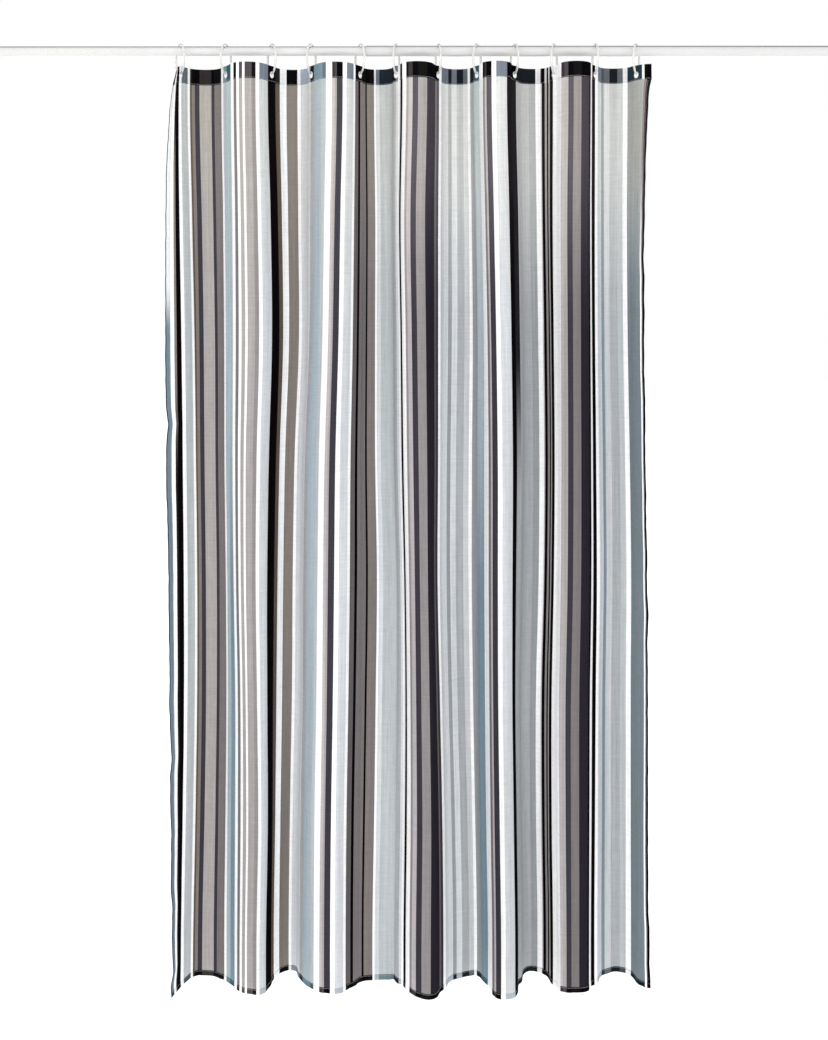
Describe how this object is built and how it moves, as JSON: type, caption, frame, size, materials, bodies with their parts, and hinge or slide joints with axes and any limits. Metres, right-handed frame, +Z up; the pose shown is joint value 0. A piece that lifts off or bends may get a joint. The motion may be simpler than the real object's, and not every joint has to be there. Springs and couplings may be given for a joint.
{
  "type": "shower curtain on a telescopic rail",
  "caption": "Striped fabric shower curtain gathered on snap rings that slide along a straight telescopic rail.",
  "frame": {"origin": "on the rail's axis, at the middle of the hanging curtain", "axes": "+X along the rail, +Z up, -Y towards the room side of the curtain"},
  "size_m": [1.9, 0.1193, 2.052],
  "materials": {
    "rail_paint": "satin",
    "foot_rubber": "matte",
    "ring_plastic": "gloss",
    "eyelet_plastic": "satin",
    "striped_cloth": "matte",
    "hem_cloth": "matte"
  },
  "bodies": {
    "rail": {"rail_outer_tube": "rail_paint", "rail_foot_right": "foot_rubber"},
    "inner_tube": {"rail_inner_tube": "rail_paint", "rail_foot_left": "foot_rubber"},
    "curtain": {"curtain_panel": "striped_cloth", "top_hem": "hem_cloth", "bottom_hem": "hem_cloth", "side_hem_left": "hem_cloth", "side_hem_right": "hem_cloth", "ring_12": "ring_plastic", "eyelet_12": "eyelet_plastic"},
    "ring_1_body": {"ring_1": "ring_plastic", "eyelet_1": "eyelet_plastic"},
    "ring_2_body": {"ring_2": "ring_plastic", "eyelet_2": "eyelet_plastic"},
    "ring_3_body": {"ring_3": "ring_plastic", "eyelet_3": "eyelet_plastic"},
    "ring_4_body": {"ring_4": "ring_plastic", "eyelet_4": "eyelet_plastic"},
    "ring_5_body": {"ring_5": "ring_plastic", "eyelet_5": "eyelet_plastic"},
    "ring_6_body": {"ring_6": "ring_plastic", "eyelet_6": "eyelet_plastic"},
    "ring_7_body": {"ring_7": "ring_plastic", "eyelet_7": "eyelet_plastic"},
    "ring_8_body": {"ring_8": "ring_plastic", "eyelet_8": "eyelet_plastic"},
    "ring_9_body": {"ring_9": "ring_plastic", "eyelet_9": "eyelet_plastic"},
    "ring_10_body": {"ring_10": "ring_plastic", "eyelet_10": "eyelet_plastic"},
    "ring_11_body": {"ring_11": "ring_plastic", "eyelet_11": "eyelet_plastic"}
  },
  "joints": [
    {"name": "curtain_swing", "type": "hinge", "parent": "rail", "child": "curtain", "pos_m": [0, 0, 0], "axis": [1, 0, 0], "range_deg": [-20, 20]},
    {"name": "rail_telescope", "type": "slide", "parent": "rail", "child": "inner_tube", "axis": [1, 0, 0], "range_m": [-0.25, 0.3]},
    {"name": "curtain_draw", "type": "slide", "parent": "curtain", "child": "ring_1_body", "axis": [1, 0, 0], "range_m": [0, 0.6761], "deforming": ["curtain_panel", "top_hem", "bottom_hem", "side_hem_left", "side_hem_right"]},
    {"name": "ring_2_slide", "type": "slide", "parent": "curtain", "child": "ring_2_body", "axis": [1, 0, 0], "range_m": [0, 0.6085]},
    {"name": "ring_3_slide", "type": "slide", "parent": "curtain", "child": "ring_3_body", "axis": [1, 0, 0], "range_m": [0, 0.5406]},
    {"name": "ring_4_slide", "type": "slide", "parent": "curtain", "child": "ring_4_body", "axis": [1, 0, 0], "range_m": [0, 0.4819]},
    {"name": "ring_5_slide", "type": "slide", "parent": "curtain", "child": "ring_5_body", "axis": [1, 0, 0], "range_m": [0, 0.4099]},
    {"name": "ring_6_slide", "type": "slide", "parent": "curtain", "child": "ring_6_body", "axis": [1, 0, 0], "range_m": [0, 0.3559]},
    {"name": "ring_7_slide", "type": "slide", "parent": "curtain", "child": "ring_7_body", "axis": [1, 0, 0], "range_m": [0, 0.2938]},
    {"name": "ring_8_slide", "type": "slide", "parent": "curtain", "child": "ring_8_body", "axis": [1, 0, 0], "range_m": [0, 0.2363]},
    {"name": "ring_9_slide", "type": "slide", "parent": "curtain", "child": "ring_9_body", "axis": [1, 0, 0], "range_m": [0, 0.1807]},
    {"name": "ring_10_slide", "type": "slide", "parent": "curtain", "child": "ring_10_body", "axis": [1, 0, 0], "range_m": [0, 0.122]},
    {"name": "ring_11_slide", "type": "slide", "parent": "curtain", "child": "ring_11_body", "axis": [1, 0, 0], "range_m": [0, 0.061]}
  ],
  "couplings": [
    {"joint": "ring_2_slide", "follows": "curtain_draw", "ratio": 0.89983},
    {"joint": "ring_3_slide", "follows": "curtain_draw", "ratio": 0.79946},
    {"joint": "ring_4_slide", "follows": "curtain_draw", "ratio": 0.71256},
    {"joint": "ring_5_slide", "follows": "curtain_draw", "ratio": 0.60606},
    {"joint": "ring_6_slide", "follows": "curtain_draw", "ratio": 0.5262},
    {"joint": "ring_7_slide", "follows": "curtain_draw", "ratio": 0.43438},
    {"joint": "ring_8_slide", "follows": "curtain_draw", "ratio": 0.34929},
    {"joint": "ring_9_slide", "follows": "curtain_draw", "ratio": 0.26712},
    {"joint": "ring_10_slide", "follows": "curtain_draw", "ratio": 0.18023},
    {"joint": "ring_11_slide", "follows": "curtain_draw", "ratio": 0.090114}
  ]
}
